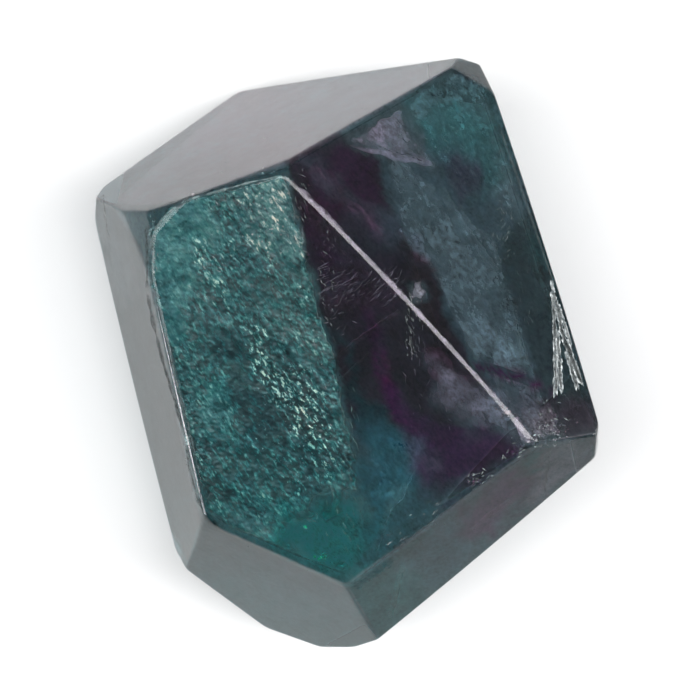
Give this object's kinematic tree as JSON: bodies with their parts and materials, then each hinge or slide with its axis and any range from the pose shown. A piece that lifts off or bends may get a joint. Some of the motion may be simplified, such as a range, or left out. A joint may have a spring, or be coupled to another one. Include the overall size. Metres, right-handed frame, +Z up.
{
  "type": "polished fluorite stone",
  "caption": "Hand-polished freeform fluorite stone with flat ground faces and softened edges, clear dark teal with purple zones, lying on its flat back.",
  "frame": {"origin": "centre of the stone's bounding box, at the height of the flat back that it rests on", "axes": "+Z up out of the resting back, +Y along the stone's length, +X across it"},
  "size_m": [0.0426, 0.0498, 0.029],
  "materials": {
    "fluorite": "polished"
  },
  "bodies": {
    "root": {"fluorite_stone": "fluorite"}
  },
  "joints": []
}
